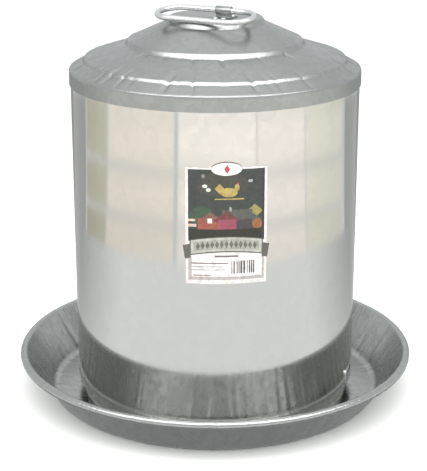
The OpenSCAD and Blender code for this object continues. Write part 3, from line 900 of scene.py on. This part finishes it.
class FOUNT_OT_label(Operator):
    """Die-cut paper label with a picture, a ribbon and an oval badge"""

    bl_idname = "fount.label"
    bl_label = "Label"

    def execute(self, context):
        sizes = context.scene.fount_sizes
        wall = SHELL_HIGH.x
        left, right = (math.asin(corner.x / (wall + sizes.label_paper))
                       for corner in (LABEL_LOW, LABEL_HIGH))
        centre = (left + right) / 2
        half = sizes.label_width / 2
        body = sizes.label_height
        badge_width, badge_height = 14.4 * MM, 6.7 * MM
        dome = [(badge_width * math.cos(math.radians(a)),
                 body - MM + badge_height * math.sin(math.radians(a))) for a in range(10, 171, 8)]
        side = [(half, 24 * MM), (half + 0.8 * MM, 24.5 * MM), (half + 2.7 * MM, 37 * MM),
                (half, 39 * MM), (half, body)]
        outline = [(half, 0)] + side + dome + [(-x, z) for x, z in side[::-1]] + [(-half, 0)]
        bm = bmesh.new()
        bm.faces.new([bm.verts.new((x, 0, z)) for x, z in outline])
        # Upright and level cuts, close enough together for the paper to bend round the wall
        columns, rows = 39, 24
        cuts = [((i * half / (columns / 2), 0, 0), (1, 0, 0))
                for i in range(-(columns // 2), columns // 2 + 1)]
        cuts += [((0, 0, i * body / rows), (0, 0, 1)) for i in range(1, rows)]
        for place, way in cuts:
            bmesh.ops.bisect_plane(bm, geom=everything(bm), dist=0.001 * MM,
                                   plane_co=place, plane_no=way)
        made = bmesh.ops.extrude_face_region(bm, geom=bm.faces[:])["geom"]
        bmesh.ops.translate(bm, vec=(0, -sizes.label_paper, 0), verts=points_of(made))
        bmesh.ops.recalc_face_normals(bm, faces=bm.faces[:])
        plan = bm.loops.layers.uv.new("label")
        for face in bm.faces:
            for loop in face.loops:
                loop[plan].uv = (loop.vert.co.x / MM, loop.vert.co.z / MM)
        for vert in bm.verts:
            x, depth, z = vert.co
            angle = centre + math.asin(x / wall)
            pucker = 0.10 * MM * (1 + noise.noise(Vector((x, 0, z)) * 70))
            reach_out = wall - depth + pucker * fade(abs(x), half - 9 * MM, half)
            vert.co = Vector((reach_out * math.sin(angle), -reach_out * math.cos(angle),
                              LABEL_LOW.z + z))
        add_piece("label_paper", bm, "cover", "label_paper",
                  bpy.data.materials["label_print"], "label")
        return {"FINISHED"}


class FOUNT_OT_fittings(Operator):
    """Valve, lock pins, rest clips and the other small fittings"""

    bl_idname = "fount.fittings"
    bl_label = "Small fittings"

    def execute(self, context):
        wire = bpy.data.materials["zinc_plated_wire"]
        sheet = bpy.data.materials["pan_galvanised"]
        for name in ("valve_seat", "valve_pivot_pin", "spring_anchor", "lock_pins"):
            add_rounded(name, "base", "bare_wire", wire, 0.25 * MM)
        add_rounded("rest_clips", "base", "pan_zinc", sheet, 0.2 * MM)
        add_rounded("valve_lever", "outlet_lever", "pan_zinc", sheet, 0.2 * MM)
        add_rounded("seal_rivet", "outlet_lever", "bare_wire", wire, 0.2 * MM)
        add_rounded("valve_seal", "outlet_lever", "seal_rubber",
                    bpy.data.materials["moulded_rubber"], 0.3 * MM)
        add_rounded("valve_striker", "cover", "bare_wire", wire, 0.25 * MM)
        return {"FINISHED"}


class FOUNT_OT_hidden(Operator):
    """Finishes of the pieces that stay as the frame has them"""

    bl_idname = "fount.hidden"
    bl_label = "Inner pieces"

    def execute(self, context):
        finishes = {
            "pan_rim_wire": "zinc_plated_wire", "tank_rim_wire": "zinc_plated_wire",
            "shell_top_wire": "zinc_plated_wire", "valve_spring": "zinc_plated_wire",
            # The lid's solder ring takes solder darkened as painted shade, for the dark line under
            # the skirt's lower edge
            "tank_bottom": "wall_galvanised", "lid_solder": "painted_shade_solder",
        }
        for name, finish in finishes.items():
            materials = frame["nodes"][name].data.materials
            materials.clear()
            materials.append(bpy.data.materials[finish])
        return {"FINISHED"}


class FOUNT_OT_finishes(Operator):
    """Materials of every piece"""

    bl_idname = "fount.finishes"
    bl_label = "Finishes"

    def execute(self, context):
        colours = context.scene.fount_colours
        light, dark = Vector(colours.zinc_light), Vector(colours.zinc_dark)
        galvanised("shell_galvanised", light, dark, roughness=0.10, crystal=8 * MM,
                   contrast=0.08, relief=0.0008 * MM)
        galvanised("wall_galvanised", light, dark, roughness=0.24, crystal=9 * MM,
                   contrast=0.5, relief=0.006 * MM)
        # The pressed pieces are rougher and a little cooler than the rolled walls, and their colours
        # are darkened as painted shade for the dimmer light on the lid and the pan
        cool = Vector((0.96, 1.0, 1.01))
        galvanised("lid_galvanised", light * cool * 0.70, dark * cool * 0.69, roughness=0.34,
                   crystal=5 * MM, contrast=0.3, relief=0.004 * MM, creases=0.10 * MM,
                   inner=92 * MM)
        galvanised("pan_galvanised", light * cool * 0.82, dark * cool * 0.76, roughness=0.25,
                   crystal=6 * MM, contrast=0.3, relief=0.006 * MM, creases=0.30 * MM,
                   inner=155 * MM)
        tin_solder("wiped_solder", Vector(colours.solder))
        # Solder at three tenths of its colour: painted shade for the dark contact line under the
        # lid's skirt
        tin_solder("painted_shade_solder", Vector(colours.solder) * 0.3)
        plated_wire(colours)
        moulded_rubber(colours)
        printed_label(colours)
        return {"FINISHED"}


# ---- stage ----------------------------------------------------------------

def add_board(inner, outer, start, end, first, last, low=2 * MM, high=2 * MM):
    """A glowing board between two radii and two angles in degrees from the front.

    It climbs from one height to another, and its linear colour runs from the first to the last
    round its arc. Only glossy rays meet it, so that it shows as a soft reflection and nowhere
    else."""
    bm = bmesh.new()
    glow = bm.verts.layers.float_color.new("glow")
    turns = math.radians(start - 90)
    across = Vector((math.cos(turns), math.sin(turns), 0))
    ends = [bm.verts.new(across * r + Vector((0, 0, z))) for r, z in ((inner, low), (outer, high))]
    bmesh.ops.spin(bm, geom=ends + [bm.edges.new(ends)], cent=(0, 0, 0), axis=(0, 0, 1),
                   dvec=(0, 0, 0), angle=math.radians(end - start), steps=16,
                   use_merge=False, use_duplicate=False)
    for vert in bm.verts:
        bearing = math.degrees(math.atan2(vert.co.y, vert.co.x)) + 90
        # The 1 degree keeps rounding at the arc's start from coming out as a whole turn
        share = ((bearing - start + 1) % 360 - 1) / (end - start)
        vert[glow] = (*Vector(first).lerp(Vector(last), share), 1)
    board = new_object("board", bm)
    bm.free()
    board.data.materials.append(bpy.data.materials["board_glow"])
    for rays in ("camera", "diffuse", "transmission", "volume_scatter", "shadow"):
        setattr(board, "visible_" + rays, False)


def add_boards():
    """Pale boards for the metal to mirror: warm ones in front, grey ones round and under them.

    Radii are in metres and angles in degrees from the front. A front arc has its start, end
    and tint, and how bright the tint is at its start and its end."""
    material = new_material("board_glow")
    shade = node(material.node_tree, "ShaderNodeAttribute", {"attribute_name": "glow"}, {})
    shader = node(material.node_tree, "ShaderNodeEmission", {}, {"Color": shade.outputs["Color"]})
    close_material(material, shader)

    # Three rings of five warm boards, brighter further out
    front = ((-116, -90, "#f4f1dc", 0.55, 0.70), (-88, -30, "#fff7ec", 0.94, 1.02),
             (-27, 30, "#fff9f2", 1.14, 1.18), (31, 70, "#fff8f1", 1.14, 1.08),
             (71, 113, "#fbfaec", 1.0, 0.80))
    for inner, outer, glow in ((0.65, 0.79, 1.32), (0.83, 1.06, 1.46), (1.12, 1.52, 1.56)):
        for start, end, tint, first, last in front:
            tone = Vector(linear(tint)) * glow
            add_board(inner, outer, start, end, tone * first, tone * last)

    # Grey in the gaps between the warm boards
    grey = Vector(linear("#f6f9f8"))
    bright, dim = 1.32, 0.62
    add_board(0.65, 1.52, -118, 118, grey * 1.1, grey * 1.1, 1 * MM, 1 * MM)
    # Grey inside and outside the rings, which dims towards the rear
    for start, end, first, last in ((-70, 70, bright, bright), (70, 126, bright, dim),
                                    (126, 234, dim, dim), (234, 290, dim, bright)):
        add_board(0.25, 0.65, start, end, grey * first, grey * last)
        add_board(1.54, 3.0, start, end, grey * first * 0.8, grey * last * 0.8)
    # The rear: a dim stretch of floor, a darker strip on it and a dark wall at its end
    add_board(0.65, 1.52, 118, 242, grey * dim, grey * dim)
    add_board(0.25, 3.0, 148, 212, grey * 0.4, grey * 0.4, 3 * MM, 3 * MM)
    add_board(3.0, 3.2, 145, 215, grey * 0.35, grey * 0.35, 3 * MM, 0.5)
    # A dim ring just above the floor, from under the pan's flare to just round the pan: painted shade
    # standing in for the pan's shadow on the floor, seen only in reflections
    add_board(0.168, 0.27, -179.5, 179.5, grey * 0.45, grey * 0.45, 0.5 * MM, 1 * MM)


class FOUNT_OT_stage(Operator):
    """Pale floor, soft light and the camera"""

    bl_idname = "fount.stage"
    bl_label = "Stage"

    def execute(self, context):
        studio = context.scene.fount_studio
        bm = bmesh.new()
        bmesh.ops.create_grid(bm, x_segments=1, y_segments=1, size=12)
        floor = new_object("floor", bm)
        bm.free()
        material = new_material("floor_paint")
        shader = node(material.node_tree, "ShaderNodeBsdfDiffuse", {},
                      {"Color": (*studio.floor, 1)})
        floor.data.materials.append(close_material(material, shader))

        world = bpy.data.worlds.new("room")
        world.use_nodes = True
        world.node_tree.nodes["Background"].inputs["Color"].default_value = (0.97, 0.99, 1, 1)
        world.node_tree.nodes["Background"].inputs["Strength"].default_value = studio.sky
        context.scene.world = world

        wide, deep, glow = 7.4, 2.2, 3.0
        soft = bpy.data.lights.new("ceiling_softbox", "AREA")
        soft.shape = "RECTANGLE"
        soft.size, soft.size_y = wide, deep
        soft.energy = glow * math.pi * wide * deep
        lamp = bpy.data.objects.new("ceiling_softbox", soft)
        lamp.location = (0, -1.45, 2.3)
        lamp.visible_camera = False
        context.scene.collection.objects.link(lamp)

        sun = bpy.data.lights.new("rear_light", "SUN")
        sun.energy = 0.2
        sun.angle = math.radians(50)
        lamp = bpy.data.objects.new("rear_light", sun)
        lamp.rotation_euler = (math.radians(-25), 0, 0)
        context.scene.collection.objects.link(lamp)

        add_boards()

        camera = bpy.data.cameras.new("camera")
        camera.lens = studio.lens
        camera.sensor_width = 36
        view = bpy.data.objects.new("camera", camera)
        view.location = (-studio.side, -studio.distance, studio.height)
        view.rotation_euler = (math.radians(90) - studio.tilt, 0, 0)
        context.scene.collection.objects.link(view)
        context.scene.camera = view
        context.scene.view_settings.view_transform = "Standard"
        return {"FINISHED"}


class FOUNT_PT_sidebar(Panel):
    """Everything that builds the fount"""

    bl_idname = "FOUNT_PT_sidebar"
    bl_label = "Waterer fount"
    bl_space_type = "VIEW_3D"
    bl_region_type = "UI"
    bl_category = "Fount"

    def draw(self, context):
        for operator in OPERATORS:
            self.layout.operator(operator.bl_idname)
        for group in ("fount_sizes", "fount_colours", "fount_studio"):
            box = self.layout.box()
            values = getattr(context.scene, group)
            for name in values.__annotations__:
                box.prop(values, name)


GROUPS = (FountSizes, FountColours, FountStudio)
OPERATORS = (FOUNT_OT_finishes, FOUNT_OT_pan, FOUNT_OT_tank, FOUNT_OT_shell, FOUNT_OT_seams,
             FOUNT_OT_lid, FOUNT_OT_bail, FOUNT_OT_label, FOUNT_OT_fittings, FOUNT_OT_hidden,
             FOUNT_OT_stage)


def register():
    for item in GROUPS + OPERATORS + (FOUNT_PT_sidebar,):
        bpy.utils.register_class(item)
    bpy.types.Scene.fount_sizes = PointerProperty(type=FountSizes)
    bpy.types.Scene.fount_colours = PointerProperty(type=FountColours)
    bpy.types.Scene.fount_studio = PointerProperty(type=FountStudio)


def unregister():
    del bpy.types.Scene.fount_sizes
    del bpy.types.Scene.fount_colours
    del bpy.types.Scene.fount_studio
    for item in reversed(GROUPS + OPERATORS + (FOUNT_PT_sidebar,)):
        bpy.utils.unregister_class(item)


def main():
    register()
    for operator in OPERATORS:
        group, name = operator.bl_idname.split(".")
        getattr(getattr(bpy.ops, group), name)()


if __name__ == "__main__":
    main()
